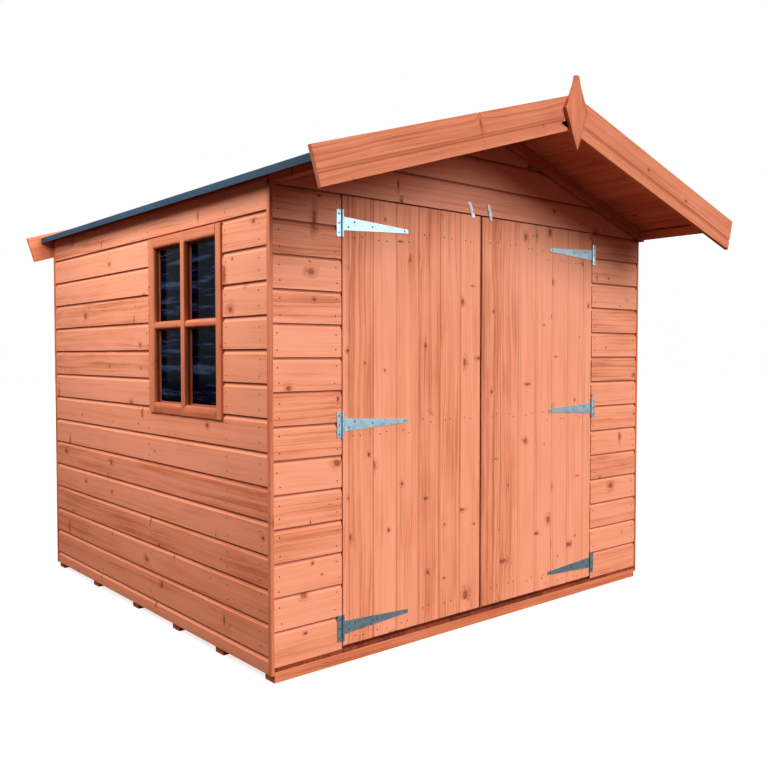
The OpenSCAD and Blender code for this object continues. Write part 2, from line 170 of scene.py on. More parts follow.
# %% Softwood material
def softwood(name, light, middle, deep, knots=0.45, rough=0.62, relief=0.5):
    """Streaks are noise over (0.9 x, 75 y, 40 z), rings over (0.35 x, 260 y, 120 z) and fibres over
    (14 x, 900 y, 900 z). A knot's distance is the length of its offset, squashed by (0.75, 1) for an oval
    or (1.5, 0.4) for a spike, over its radius of 2.4 to 13 mm. knots is the share of cells that hold one."""
    material, tree, shader = new_material(name)
    grain = add(tree, "ShaderNodeAttribute", attribute_name="grain").outputs["Vector"]
    tone = add(tree, "ShaderNodeAttribute", attribute_name="tone").outputs["Fac"]
    recess_shade = add(tree, "ShaderNodeAttribute", attribute_name="recess_shade").outputs["Fac"]

    def vector(operation, *values):
        return add(tree, "ShaderNodeVectorMath", dict(enumerate(values)), operation=operation)

    def maths(operation, *values):
        return add(tree, "ShaderNodeMath", dict(enumerate(values)), operation=operation).outputs[0]

    # knots: cells of 300 x 100 mm, each with its own point, size and chance of being there
    flat = vector("MULTIPLY", grain, (3.3, 10.0, 0.0)).outputs[0]
    cells = add(tree, "ShaderNodeTexVoronoi", {"Vector": flat, "Scale": 1.0, "Randomness": 0.85})
    offset = vector("SUBTRACT", flat, cells.outputs["Position"]).outputs[0]
    offset = vector("MULTIPLY", offset, (1 / 3.3, 1 / 10.0, 0.0)).outputs[0]
    chance = add(tree, "ShaderNodeSeparateColor", {"Color": cells.outputs["Color"]})
    radius = add(
        tree,
        "ShaderNodeMapRange",
        {"Value": maths("POWER", chance.outputs[1], 2.2), "To Min": 2.4 * MM, "To Max": 13.0 * MM},
    ).outputs[0]
    there = maths("LESS_THAN", chance.outputs[0], knots)
    ragged = add(tree, "ShaderNodeTexNoise", {"Vector": grain, "Scale": 160.0, "Detail": 2.0})
    spike = add(
        tree, "ShaderNodeMapRange", {"Value": chance.outputs[2], "From Min": 0.55, "From Max": 0.75}
    ).outputs[0]
    squash = add(
        tree, "ShaderNodeMix", {0: spike, 4: (0.75, 1.0, 0.0), 5: (1.5, 0.4, 0.0)}, data_type="VECTOR"
    ).outputs[1]
    squashed = vector("MULTIPLY", offset, squash).outputs[0]
    distance = maths("DIVIDE", vector("LENGTH", squashed).outputs[1], radius)
    smudge = add(
        tree, "ShaderNodeTexNoise", {"Vector": grain, "Scale": 70.0, "Detail": 4.0, "Roughness": 0.7}
    )
    blurred = maths("ADD", distance, maths("MULTIPLY_ADD", smudge.outputs[0], 5.0, -2.5))
    distance = maths("ADD", distance, maths("MULTIPLY_ADD", ragged.outputs[0], 0.9, -0.45))

    # the grain parts round a knot: its across coordinate is drawn in within a few radii
    pull = maths("MULTIPLY", distance, distance)
    pull = maths("EXPONENT", maths("MULTIPLY", pull, -0.16))
    pull = maths("MULTIPLY", maths("MULTIPLY", pull, there), -0.9)
    across = add(tree, "ShaderNodeSeparateXYZ", {"Vector": offset}).outputs[1]
    bend = add(
        tree, "ShaderNodeCombineXYZ", {"X": 0.0, "Y": maths("MULTIPLY", across, pull), "Z": 0.0}
    ).outputs[0]
    slow = vector("MULTIPLY", grain, (1.7, 6.0, 3.0)).outputs[0]
    waves = add(tree, "ShaderNodeTexNoise", {"Vector": slow, "Scale": 1.0, "Detail": 2.0})
    drift = vector("SUBTRACT", waves.outputs["Color"], (0.5, 0.5, 0.5)).outputs[0]
    drift = vector("MULTIPLY", drift, (0.0, 0.05, 0.0)).outputs[0]
    bent = vector("ADD", vector("ADD", grain, bend).outputs[0], drift).outputs[0]

    streak_at = vector("MULTIPLY", bent, (0.9, 75.0, 40.0)).outputs[0]
    streaks = add(
        tree, "ShaderNodeTexNoise", {"Vector": streak_at, "Scale": 1.0, "Detail": 3.5, "Roughness": 0.6}
    ).outputs[0]
    ring_at = vector("MULTIPLY", bent, (0.35, 260.0, 120.0)).outputs[0]
    rings = add(
        tree, "ShaderNodeTexNoise", {"Vector": ring_at, "Scale": 1.0, "Detail": 1.5}
    ).outputs[0]
    fibre_at = vector("MULTIPLY", grain, (14.0, 900.0, 900.0)).outputs[0]
    fibres = add(tree, "ShaderNodeTexNoise", {"Vector": fibre_at, "Scale": 1.0, "Detail": 1.0}).outputs[0]
    blotch_at = vector("MULTIPLY", grain, (3.0, 14.0, 9.0)).outputs[0]
    blotches = add(tree, "ShaderNodeTexNoise", {"Vector": blotch_at, "Scale": 1.0, "Detail": 2.0}).outputs[0]

    figure = maths("MULTIPLY_ADD", streaks, 0.5, maths("MULTIPLY", rings, 0.32))
    figure = maths("ADD", figure, maths("MULTIPLY", fibres, 0.18))
    figure = maths("ADD", figure, maths("MULTIPLY_ADD", blotches, 0.35, -0.175))
    figure = maths("ADD", figure, maths("MULTIPLY_ADD", tone, 0.16, -0.08))
    wood = ramp(tree, figure, [(0.30, deep), (0.46, middle), (0.60, light)])

    # a small knot is dark, a large one ringed with a dark rim, and both have a swirled halo
    circles = maths("SINE", maths("MULTIPLY", distance, 16.0))
    swirl = maths("MULTIPLY_ADD", maths("SINE", maths("MULTIPLY", blurred, 7.0)), 0.5, 0.5)
    small = ramp(tree, distance, [(0.0, "#7A3418"), (0.6, "#6A2810"), (0.95, "#A8542F")])
    ringed = maths("MULTIPLY_ADD", circles, 0.16, distance)
    large = ramp(
        tree,
        ringed,
        [(0.0, "#96482A"), (0.35, "#C27048"), (0.6, "#A3512E"), (0.8, "#6E2C14"), (0.95, "#B4603C")],
    )
    big = add(
        tree, "ShaderNodeMapRange", {"Value": radius, "From Min": 5 * MM, "From Max": 8 * MM}
    ).outputs[0]
    knot = blend(tree, big, small, large)
    core = add(
        tree, "ShaderNodeMapRange", {"Value": distance, "From Min": 1.25, "From Max": 0.7, "To Max": 0.9}
    ).outputs[0]
    halo = add(
        tree, "ShaderNodeMapRange", {"Value": blurred, "From Min": 3.0, "From Max": 0.6, "To Max": 0.9}
    ).outputs[0]
    halo = maths("MULTIPLY", maths("MULTIPLY", halo, there), maths("MULTIPLY_ADD", swirl, 0.8, 0.15))
    core = maths("MULTIPLY", core, there)
    stained = blend(tree, halo, wood, to_linear("#A85230"))
    knotted = blend(tree, core, stained, knot)
    # painted shade: the moulding's hollows and the tongue are darkened towards #7A2C10
    painted_shade = maths("MULTIPLY", recess_shade, 0.7)
    colour = blend(tree, painted_shade, knotted, to_linear("#7A2C10"))
    tree.links.new(colour, shader.inputs["Base Color"])

    shader.inputs["IOR"].default_value = 1.45
    roughness = maths("MULTIPLY_ADD", streaks, -0.18, rough + 0.09)
    tree.links.new(roughness, shader.inputs["Roughness"])
    height = maths("MULTIPLY_ADD", rings, 0.5, maths("MULTIPLY", fibres, 0.5))
    height = maths("MULTIPLY_ADD", core, 0.6, height)
    bump = add(
        tree, "ShaderNodeBump", {"Height": height, "Strength": relief, "Distance": 0.35 * MM}
    )
    tree.links.new(bump.outputs[0], shader.inputs["Normal"])
    return material


# Planed spruce, dipped: matt, pale salmon orange with darker streaks and red-brown knots.
BOARDS = softwood("dipped_spruce_boards", "#F8AC8A", "#F0A07C", "#CC7850")
# Planed spruce of the bargeboards, finials and window: the same stain, one shade browner.
TRIM = softwood("dipped_spruce_trim", "#E0906A", "#D17E58", "#AE5F3C", knots=0.4)
# Sawn spruce of the frame: the same stain again, rougher.
TIMBER = softwood("dipped_sawn_spruce", "#E4936E", "#D47E57", "#B4603A", knots=0.3, rough=0.75, relief=0.9)
# The same sawn spruce, darker, with painted shade in its colour: floor boards and threshold.
SHADED_TIMBER = softwood("shade_painted_sawn_spruce", "#A4502C", "#86381C", "#64240E", knots=0.3, rough=0.75, relief=0.9)
print("wood materials:", BOARDS.name, TRIM.name, TIMBER.name, SHADED_TIMBER.name)

# %% [markdown]
# ## How a board is made
# A board is one closed outline carried along a line. The outline is a set of (across, out)
# points; stations along the board repeat it, and joining each point to its neighbours gives
# the faces. Cutting the ends at a slope only needs a start and a stop that differ from point to
# point, which is how the gable boards and rafters are shaped. A boolean cut would give
# the same shape with untidy faces, so the grid is the better way.


# %% Sweep
WAVE_LENGTH = 1.5


def recess_of(out, fall=6.2 * MM):
    """How much painted shade a point takes at a depth: 0 down to 0.87 of the fall, then up to fall / 5 mm (at
    most 1) at the tongue, and 0 on the back."""
    share = np.clip((-out / fall - 0.87) / 0.11, 0, 1)
    return share * (-out < 6.6 * MM) * min(1, fall / (5 * MM))


def sweep(outline, start, stop, origin, along, across, out, seed, step=0.2, wander=0.0, fall=6.2 * MM):
    """Point j of station i is origin + (start_j + (stop_j - start_j) t_i) along + across_j across + out_j
    out. wander adds slow waves, a sum of three sines of chance phase, to across and out. fall is the depth of
    the moulding, where painted shade is put; 0 is for a plain piece. The sum of a_j n_(j+1) - a_(j+1) n_j
    gives the way round that the outline runs, and so which way the faces have to turn."""
    chance = np.random.default_rng(seed)
    outline = np.asarray(outline, float)
    points = len(outline)
    start, stop = np.broadcast_to(start, points), np.broadcast_to(stop, points)
    length = float(np.mean(stop - start))
    count = max(2, int(round(length / step)) + 1)
    t = np.linspace(0, 1, count)[:, None]
    a = start + (stop - start) * t
    waves = chance.uniform(0, 2 * np.pi, (2, 3))
    turns = 2 * np.pi * t * length / WAVE_LENGTH
    bow = [sum(np.sin((k + 0.6) * turns + p) for k, p in enumerate(row)) / 3 for row in waves]
    b = outline[:, 0] + wander * bow[0]
    n = outline[:, 1] + wander * bow[1]
    local = np.stack([a, b, n], -1)
    axes = np.array([along, across, out], float)
    places = np.array(origin, float) + local @ axes
    i, j = np.meshgrid(np.arange(count - 1), np.arange(points), indexing="ij")
    k = (j + 1) % points
    here, there = i * points, (i + 1) * points
    quads = np.stack([here + j, here + k, there + k, there + j], -1).reshape(-1, 4)
    first, last = np.arange(points)[::-1], np.arange(points) + (count - 1) * points
    ahead = np.roll(outline, -1, 0)
    area = np.sum(outline[:, 0] * ahead[:, 1] - ahead[:, 0] * outline[:, 1])
    if np.linalg.det(axes) * area < 0:
        quads, first, last = quads[:, ::-1], first[::-1], last[::-1]
    shift = chance.uniform(0, 40, 3) * (1, 1, 0.2)
    return {
        "places": places.reshape(-1, 3),
        "faces": quads.tolist() + [first.tolist(), last.tolist()],
        "grain": local.reshape(-1, 3) + shift,
        "tone": np.full(count * points, chance.uniform(0, 1)),
        "recess_shade": np.tile(recess_of(outline[:, 1], fall) if fall else np.zeros(points), count),
    }


def make_piece(name, parts, body, material, replaces=(), sharp=30):
    """Joins parts into one mesh with its grain and tone attributes, and lets it ride on a body."""
    starts = np.cumsum([0] + [len(p["places"]) for p in parts])
    places = np.concatenate([p["places"] for p in parts])
    faces = [[v + s for v in f] for p, s in zip(parts, starts.tolist()) for f in p["faces"]]
    mesh = bpy.data.meshes.new(name)
    mesh.from_pydata(places.tolist(), [], faces)
    if "grain" in parts[0]:
        grain = np.concatenate([p["grain"] for p in parts])
        mesh.attributes.new("grain", "FLOAT_VECTOR", "POINT").data.foreach_set("vector", grain.ravel())
        for key in ("tone", "recess_shade"):
            values = np.concatenate([p[key] for p in parts])
            mesh.attributes.new(key, "FLOAT", "POINT").data.foreach_set("value", values)
    mesh.shade_smooth()
    mesh.set_sharp_from_angle(angle=math.radians(sharp))
    mesh.materials.append(material)
    piece = bpy.data.objects.new(name, mesh)
    bpy.context.scene.collection.objects.link(piece)
    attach(piece, body)
    if replaces:
        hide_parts(*replaces)
    print(f"{name}: {len(parts)} parts, {len(places)} points, {len(faces)} faces")
    return piece


X, Y, Z = np.eye(3)

# %% [markdown]
# ## The shiplap outline
# A shiplap board is 12 mm thick. Its top runs back in a hollow, the cove, to a thin tongue, and
# its lower edge is cut away behind to a lip that laps over the tongue of the board below.
# The lip's shadow, with painted shade on the tongue, makes the dark line between boards, and the cove's edge
# catches the light.


# %% Shiplap outline
def shiplap(cover=COVER, low=0.0, high=None, cove_w=15 * MM, flat_w=3 * MM, fall=6.2 * MM):
    """(across, out) points of a board from low to high. The face is at 0. Over cove_w it falls in a hollow,
    fall * (1 - (1 - s)^2)^0.7, to the tongue, of which flat_w shows below the next board."""
    high = cover + 6 * MM if high is None else high
    begin = cover - cove_w - flat_w
    cove = begin + cove_w * np.linspace(0, 1, 9) ** 1.4
    a = np.concatenate([[low, low + 0.9 * MM, low + 2 * MM], cove, [cover - 1 * MM, high]])
    a = np.unique(np.clip(a, low, high))
    s = np.clip((a - begin) / cove_w, 0, 1)
    front = -fall * (1 - (1 - s) ** 2) ** 0.7
    front[0] -= 0.9 * MM
    rebate = low + 8 * MM if low < 8 * MM else low
    back = [(high, -BOARD_T), (rebate, -BOARD_T)]
    if rebate > low:
        back += [(rebate, -6 * MM), (low, -6 * MM)]
    return np.array(list(zip(a, front)) + back)


outline = shiplap()
print("shiplap outline:", len(outline), "points,", round(np.ptp(outline[:, 0]) / MM), "mm wide")

# %% [markdown]
# ## Wall boards
# Each wall is a stack of boards that starts at the wall's lower edge and goes up in steps of
# 115 mm. The lowest and the top board are cut to fit. In the gables each board's ends follow the
# roof, so the start and stop of each point depend on its height.


# %% Board stacks
WALL_WANDER = 0.35 * MM


def courses(bottom, top, joint):
    """Joint heights of a stack: bottom, then joint + k 115 mm, then top."""
    first = joint - COVER * math.floor((joint - bottom) / COVER - 0.2)
    inner = np.arange(first, top - 4 * MM, COVER)
    return [bottom, *inner.tolist(), top]


def course_outline(heights, i):
    """The joint line of course i, and its outline measured up from that line."""
    low, high = heights[i], heights[i + 1]
    last = i == len(heights) - 2
    base = high - COVER if i == 0 else low
    return base, shiplap(COVER, low - base, high - base if last else None)


def wall_boards(bottom, top, joint, spans, origin, along, out, seed):
    """Boards of a straight wall. spans(low, high) gives the (start, stop) pairs of a course."""
    parts = []
    heights = courses(bottom, top, joint)
    for i in range(len(heights) - 1):
        base, section = course_outline(heights, i)
        for k, (start, stop) in enumerate(spans(heights[i], heights[i + 1])):
            number = seed * 1000 + i * 10 + k
            # each board's tongue and the deepest part of its cove take painted shade
            parts.append(
                sweep(section, start, stop, origin + Z * base, along, Z, out, number, wander=WALL_WANDER)
            )
    return parts


FRONT_JOINT = 173.9 * MM
SIDE_JOINT = 87 * MM
print("front courses:", len(courses(DECK_TOP, 1.668, FRONT_JOINT)) - 1)

# %% Side walls
window_low, window_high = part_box("window_frame")


def left_spans(low, high):
    """The left wall's boards stop at the window wherever it is as high as the course."""
    lo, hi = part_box("left_wall")
    if high > window_low.z + 30 * MM and low < window_high.z - 10 * MM:
        return [(lo.y, window_low.y + 2 * MM), (window_high.y - 2 * MM, hi.y)]
    return [(lo.y, hi.y)]


lo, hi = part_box("left_wall")
left_boards = wall_boards(lo.z, hi.z, SIDE_JOINT, left_spans, -X * HALF_W, Y, -X, 1)
strip = [(-8 * MM, -6 * MM), (6 * MM, -6 * MM), (6 * MM, -BOARD_T), (-8 * MM, -BOARD_T)]
left_boards.append(
    sweep(strip, window_low.y, window_high.y, (-HALF_W, 0, window_high.z + 8 * MM), Y, Z, -X, 77)
)
make_piece("left_wall_shiplap", left_boards, "root", BOARDS, ["left_wall"])
lo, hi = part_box("right_wall")
right_boards = wall_boards(lo.z, hi.z, SIDE_JOINT, lambda a, b: [(lo.y, hi.y)], X * HALF_W, Y, X, 2)
make_piece("right_wall_shiplap", right_boards, "root", BOARDS, ["right_wall"])

# %% Front walls and gables
for seed, node in ((3, "front_wall_left"), (4, "front_wall_right")):
    lo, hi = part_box(node)
    boards = wall_boards(lo.z, hi.z, FRONT_JOINT, lambda a, b: [(lo.x, hi.x)], Y * lo.y, X, -Y, seed)
    make_piece(node + "_shiplap", boards, "root", BOARDS, [node])


def gable_boards(bottom, y, out, seed):
    """A course's end at height z is where the roof's underside is z high, or the wall's corner if nearer."""
    parts = []
    corner = HALF_W - BOARD_T
    heights = courses(bottom, underside(0) - SEAT, FRONT_JOINT)
    for i in range(len(heights) - 1):
        base, section = course_outline(heights, i)
        z = base + section[:, 0]
        reach = HALF_W - (z - SIDE_TOP) / math.tan(PITCH)
        end = np.clip(reach, 1 * MM, corner)
        # each board's tongue and the deepest part of its cove take painted shade
        parts.append(
            sweep(section, -end, end, Y * y + Z * base, X, Z, out, seed * 1000 + i, wander=WALL_WANDER)
        )
    return parts


for seed, node, face_y, out in ((5, "front_gable", FRONT_Y, -Y), (6, "back_wall", BACK_Y, Y)):
    boards = gable_boards(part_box(node)[0].z, face_y, out, seed)
    make_piece(node + "_shiplap", boards, "root", BOARDS, [node])

# %% [markdown]
# ## Door boards
# The doors are clad in upright boards with the same outline but a shallower moulding, 1.5 mm on
# the left door and 3.2 mm on the right. The pair is handed: each door's coves fall toward the
# seam in the middle. A ripped strip makes up the width at each hinge side. The across direction
# alone decides the hand.


# %% Doors
DOOR_COVER = 112.6 * MM
LEFT_STRIP, RIGHT_STRIP = 30 * MM, 63 * MM


def door_boards(node, strip, hand, fall, seed):
    """Boards from the hinge edge: a strip, then full boards; hand is +1 where across runs along +X."""
    lo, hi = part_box(node)
    edge = lo.x if hand > 0 else hi.x
    width = hi.x - lo.x
    parts = []
    lines = np.append(np.arange(strip, width - 20 * MM, DOOR_COVER), width)
    lines = np.insert(lines, 0, 0.0)
    for i in range(len(lines) - 1):
        base = lines[1] - DOOR_COVER if i == 0 else lines[i]
        last = i == len(lines) - 2
        high = lines[i + 1] - base if last else None
        section = shiplap(DOOR_COVER, lines[i] - base, high, flat_w=1.2 * MM, fall=fall)
        origin = X * (edge + hand * base) + Y * lo.y
        # the deepest part of each cove takes painted shade, less on the shallow left door
        parts.append(
            sweep(
                section, lo.z, hi.z, origin, Z, X * hand, -Y, seed * 1000 + i, wander=0.3 * MM, fall=fall
            )
        )
    return parts


left_door = door_boards("left_door_boards", LEFT_STRIP, 1, 1.5 * MM, 7)
make_piece("left_door_shiplap", left_door, "left_door", BOARDS, ["left_door_boards"])
right_door = door_boards("right_door_boards", RIGHT_STRIP, -1, 3.2 * MM, 8)
make_piece("right_door_shiplap", right_door, "right_door", BOARDS, ["right_door_boards"])

# %% [markdown]
# ## Frame timbers
# Posts, rails, ledges, braces, rafters and bearers are sawn lengths with slightly eased edges.
# The CAD model already holds each as a plain bar, so each bar is found in its node, its
# long direction is taken as the grain's, and it is swept again with its corners eased.


# %% Timbers from CAD bars
def bars(node):
    """The separate bars of a CAD node as point sets: each point takes the lowest label it shares a
    triangle with, until nothing changes."""
    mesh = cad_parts[node].data
    co = np.zeros(len(mesh.vertices) * 3)
    mesh.vertices.foreach_get("co", co)
    corners = np.zeros(len(mesh.loops), int)
    mesh.loops.foreach_get("vertex_index", corners)
    points, same = np.unique(np.round(co.reshape(-1, 3), 5), axis=0, return_inverse=True)
    triangles = same.ravel()[corners].reshape(-1, 3)
    label = np.arange(len(points))
    while True:
        lowest = label.copy()
        np.minimum.at(lowest, triangles.ravel(), np.repeat(label[triangles].min(1), 3))
        if (lowest == label).all():
            break
        label = lowest
    return [points[label == k] for k in np.unique(label)]


def timber(points, seed, ease=1.5 * MM):
    """A bar swept along its long edges. Seen along y its outline is a four-sided figure; the ends' slopes
    come from where its corners lie."""
    lo, hi = points.min(0), points.max(0)
    size = hi - lo
    if size[1] >= max(size[0], size[2]):
        a, b, out = Y, X, Z
        low, high, inner, outer = [lo[1]] * 2, [hi[1]] * 2, lo[0], hi[0]
        n0, n1 = lo[2], hi[2]
    else:
        figure = np.unique(np.round(points[:, [0, 2]], 5), axis=0)
        centre = figure.mean(0)
        figure = figure[np.argsort(np.arctan2(*(figure - centre).T[::-1]))]
        edges = np.roll(figure, -1, 0) - figure
        longest = edges[np.argmax((edges**2).sum(1))]
        longest = longest / np.linalg.norm(longest)
        a = np.array([longest[0], 0, longest[1]])
        b = np.array([-longest[1], 0, longest[0]])
        out = Y
        u, v = figure @ longest, figure @ np.array([-longest[1], longest[0]])
        inner, outer = v.min(), v.max()
        middle = (inner + outer) / 2
        low = [u[v < middle].min(), u[v > middle].min()]
        high = [u[v < middle].max(), u[v > middle].max()]
        n0, n1 = lo[1], hi[1]
    e = min(ease, (outer - inner) / 4, (n1 - n0) / 4)
    section = np.array(
        [
            (inner + e, n0), (outer - e, n0), (outer, n0 + e), (outer, n1 - e),
            (outer - e, n1), (inner + e, n1), (inner, n1 - e), (inner, n0 + e),
        ]
    )
    share = (section[:, 0] - inner) / (outer - inner)
    start = low[0] + (low[1] - low[0]) * share
    stop = high[0] + (high[1] - high[0]) * share
    return sweep(section, start, stop, (0, 0, 0), a, b, out, seed, step=1.0, fall=0)


TIMBER_NODES = {
    "floor_bearers": "root", "front_frame": "root", "left_frame": "root", "right_frame": "root",
    "back_frame": "root", "corner_battens": "root", "threshold": "root", "ridge_beam": "root",
    "roof_frame_left": "root", "roof_frame_right": "root",
    "left_door_ledges": "left_door", "right_door_ledges": "right_door",
}
for seed, (node, body) in enumerate(TIMBER_NODES.items()):
    parts = [timber(points, 9000 + 100 * seed + k) for k, points in enumerate(bars(node))]
    # the threshold takes the darker copy of the sawn spruce, with painted shade
    wood = SHADED_TIMBER if node == "threshold" else TIMBER
    make_piece(node + "_timber", parts, body, wood, [node], sharp=20)

# %% [markdown]
# ## Floor and roof boards
# Floor boards lie across the bearers and roof boards run from front to back over the rafters.
# Both are plain boards with a small chamfer on each long edge, so the joints show as fine lines.
# Eight boards cover each slope of the roof.


# %% Floor and roof boards
def vee_board(width, thick):
    """A plank's outline with 1.5 mm chamfers; the joint is 0.6 mm wide on top and closes below."""
    c, w = 1.5 * MM, width - 0.6 * MM
    top = [(0, -c), (c, 0), (w - c, 0), (w, -c)]
    return np.array(top + [(width, c - thick), (w - c, -thick), (c, -thick), (0, c - thick)])


lo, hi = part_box("floor_deck")
count = 18
width = (hi.x - lo.x) / count
floor = [
    sweep(vee_board(width, hi.z - lo.z), lo.y, hi.y, (lo.x + i * width, 0, hi.z), Y, X, Z, 300 + i)
    for i in range(count)
]
# the floor boards take the darker copy of the sawn spruce, with painted shade
make_piece("floor_boards", floor, "root", SHADED_TIMBER, ["floor_deck"])

SLOPE = np.array([-math.cos(PITCH), 0, -math.sin(PITCH)])
LIFT = np.array([-math.sin(PITCH), 0, math.cos(PITCH)])
lo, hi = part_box("roof_boards_left")
slope_l = EAVE_X / math.cos(PITCH)
for name, side in (("left", 1), ("right", -1)):
    flip = np.array([side, 1, 1])
    width = (slope_l - 4 * MM) / 8
    roof = [
        sweep(
            vee_board(width, BOARD_T), lo.y, hi.y,
            (Z * underside(0) + LIFT * BOARD_T + SLOPE * (4 * MM + i * width)) * flip,
            Y, SLOPE * flip, LIFT * flip, 400 + 20 * side + i,
        )
        for i in range(8)
    ]
    make_piece(f"roof_boards_{name}_planks", roof, "root", TIMBER, [f"roof_boards_{name}"])

# %% [markdown]
# ## Bargeboards and finials
# The bargeboards cover the roof's edge. They are cut from the same moulded board, so a
# cove runs along each, a third of the way up. The outline is carried down the slope, and the
# start of each point depends on its height. At the ridge the cut leans past the middle, so the
# two boards of a pair cross there behind the finial. An upright cut would be the proper one: it
# needs the opposite sign in the start.


# %% Bargeboards
BARGE_FALL = 3.6 * MM


def bargeboard_outline(width, thick):
    """Face at 0 above the cove; the cove falls 3.6 mm over 14 mm; below it the strip is 0.6 mm back."""
    groove = 38 * MM
    s = np.linspace(0, 1, 7)
    hollow = [(groove + 14 * MM * (1 - k) ** 1.5, -BARGE_FALL * math.sqrt(1 - (1 - k) ** 3)) for k in s]
    front = [(0, -1.6 * MM), (1 * MM, -0.6 * MM)]
    front += [(groove - 1.5 * MM, -0.6 * MM), (groove - 0.5 * MM, -1.4 * MM)]
    front += hollow[::-1] + [(width - 1 * MM, 0), (width, -1 * MM)]
    return np.array(front + [(width, -thick), (0, -thick)])


def bargeboard(node, side, out, depth, lift, seed):
    """A board of this depth from the ridge to the node's outer end, which is raised by lift. Each point's
    start is its height above the lower edge less the depth, times the slope. The lower corner passes the
    middle by 2 sin(slope) times the depth, about 75 mm, so a pair crosses behind its finial."""
    lo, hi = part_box(node)
    flip = np.array([side, 1, 1])
    end = max(abs(lo.x), abs(hi.x))
    fall = math.atan2(end * math.tan(PITCH) - lift, end)
    down = np.array([-math.cos(fall), 0, -math.sin(fall)]) * flip
    up = np.array([-math.sin(fall), 0, math.cos(fall)]) * flip
    section = bargeboard_outline(depth, hi.y - lo.y)
    start = (section[:, 0] - depth) * math.tan(fall)
    face = lo.y if out[1] < 0 else hi.y
    lower_edge = Z * hi.z + Y * face - up * depth
    # the deepest part of the cove takes painted shade
    part = sweep(section, start, end / math.cos(fall), lower_edge, down, up, out, seed, fall=BARGE_FALL)
    make_piece(node + "_moulded", [part], "root", TRIM, [node])


bargeboard("front_bargeboard_left", 1, -Y, 122 * MM, 0, 511)
bargeboard("front_bargeboard_right", -1, -Y, 137 * MM, 28 * MM, 509)
bargeboard("back_bargeboard_left", 1, Y, 122 * MM, 0, 501)
bargeboard("back_bargeboard_right", -1, Y, 122 * MM, 0, 499)
print("bargeboards: 4")

# %% Finials
def finial(place, out, seed):
    """Six rings of the node's outline: at the back, 1.5 mm behind the face, drawn in 1.5 mm at the face,
    and three more, 11, 13 and 15 mm in, that cut a groove 1.4 mm deep. A ring is drawn in along the rays
    from the centre."""
    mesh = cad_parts[place + "_finial"].data
    points = np.empty(3 * len(mesh.vertices))
    mesh.vertices.foreach_get("co", points)
    points = np.unique(points.reshape(-1, 3).round(5), axis=0)
    lo, hi = points.min(0), points.max(0)
    rim = points[points[:, 1] < (lo[1] + hi[1]) / 2][:, [0, 2]]
    centre = np.array([0, hi[2] - 125 * MM])
    ray = rim - centre
    turn = np.argsort(np.arctan2(ray[:, 1], ray[:, 0]))
    rim, ray = rim[turn], ray[turn]
    reach = np.linalg.norm(ray, axis=1)[:, None]
    depths = [-(hi[1] - lo[1]), -1.5 * MM, 0, 0, -1.4 * MM, 0]
    insets = [0, 0, 1.5 * MM, 11 * MM, 13 * MM, 15 * MM]
    rings = [
        np.c_[centre + ray * np.maximum(1 - inset / reach, 0.1), np.full(len(rim), depth)]
        for inset, depth in zip(insets, depths)
    ]
    n = len(rim)
    flat = np.concatenate(rings)
    face = hi[1] if out > 0 else lo[1]
    places = flat[:, :1] * X + flat[:, 1:2] * Z + flat[:, 2:] * Y * out + Y * face
    i, j = np.meshgrid(np.arange(len(rings) - 1), np.arange(n), indexing="ij")
    k = (j + 1) % n
    quads = np.stack([i * n + j, i * n + k, (i + 1) * n + k, (i + 1) * n + j], -1).reshape(-1, 4)
    caps = np.array([np.arange(n)[::-1], np.arange(n) + (len(rings) - 1) * n])
    if out > 0:
        quads, caps = quads[:, ::-1], caps[:, ::-1]
    part = {
        "places": places,
        "faces": quads.tolist() + caps.tolist(),
        "grain": flat[:, [1, 0, 2]] + (3.1, seed + 0.07, 2.0),
        "tone": np.full(len(places), 0.5),
        "recess_shade": np.zeros(len(places)),
    }
    make_piece(place + "_finial_spear", [part], "root", TRIM, [place + "_finial"])


finial("front", -1, 7)
finial("back", 1, 9)

# %% [markdown]
# ## Metal
# Hinges are pressed steel, hot-dip galvanised: pale blue-grey crystals a few millimetres
# across, dull rather than bright. The turn buttons and their screws are zinc-plated and shinier,
# and the hinge screws dark and dull. Nails are plain steel that the stain and rain have browned.


# %% Metal materials
def metal(name, light, dark, rough, cell, low_shade=0.0):
    """Crystal flakes are cells of the given size; each takes its own mix of light and dark, and its own
    roughness. The last argument is the share of slate grey, painted shade, up to 0.1 m from the ground; it
    falls to 0 at 1.7 m."""
    material, tree, shader = new_material(name)
    where = add(tree, "ShaderNodeTexCoord").outputs["Object"]
    cells = add(tree, "ShaderNodeTexVoronoi", {"Vector": where, "Scale": 1 / cell})
    flake = add(tree, "ShaderNodeSeparateColor", {"Color": cells.outputs["Color"]}).outputs[0]
    cloud = add(tree, "ShaderNodeTexNoise", {"Vector": where, "Scale": 45.0, "Detail": 3.0}).outputs[0]
    both = add(tree, "ShaderNodeMath", {0: flake, 1: 0.45, 2: cloud}, operation="MULTIPLY_ADD").outputs[0]
    colour = ramp(tree, both, [(0.35, dark), (0.95, light)])
    # painted shade: the colour turns slate grey towards the ground, fully at 0.1 m and not at all from 1.7 m
    height = add(tree, "ShaderNodeSeparateXYZ", {"Vector": where}).outputs[2]
    span = {"From Min": 0.1, "From Max": 1.7, "To Min": low_shade, "To Max": 0.0}
    share = add(tree, "ShaderNodeMapRange", {"Value": height, **span}).outputs[0]
    colour = blend(tree, share, colour, to_linear("#24343E"))
    tree.links.new(colour, shader.inputs["Base Color"])
    shader.inputs["Metallic"].default_value = 0.8
    gloss = add(tree, "ShaderNodeMath", {0: flake, 1: 0.12, 2: rough}, operation="MULTIPLY_ADD").outputs[0]
    tree.links.new(gloss, shader.inputs["Roughness"])
    bump = add(tree, "ShaderNodeBump", {"Height": both, "Strength": 0.2, "Distance": 0.2 * MM})
    tree.links.new(bump.outputs[0], shader.inputs["Normal"])
    return material


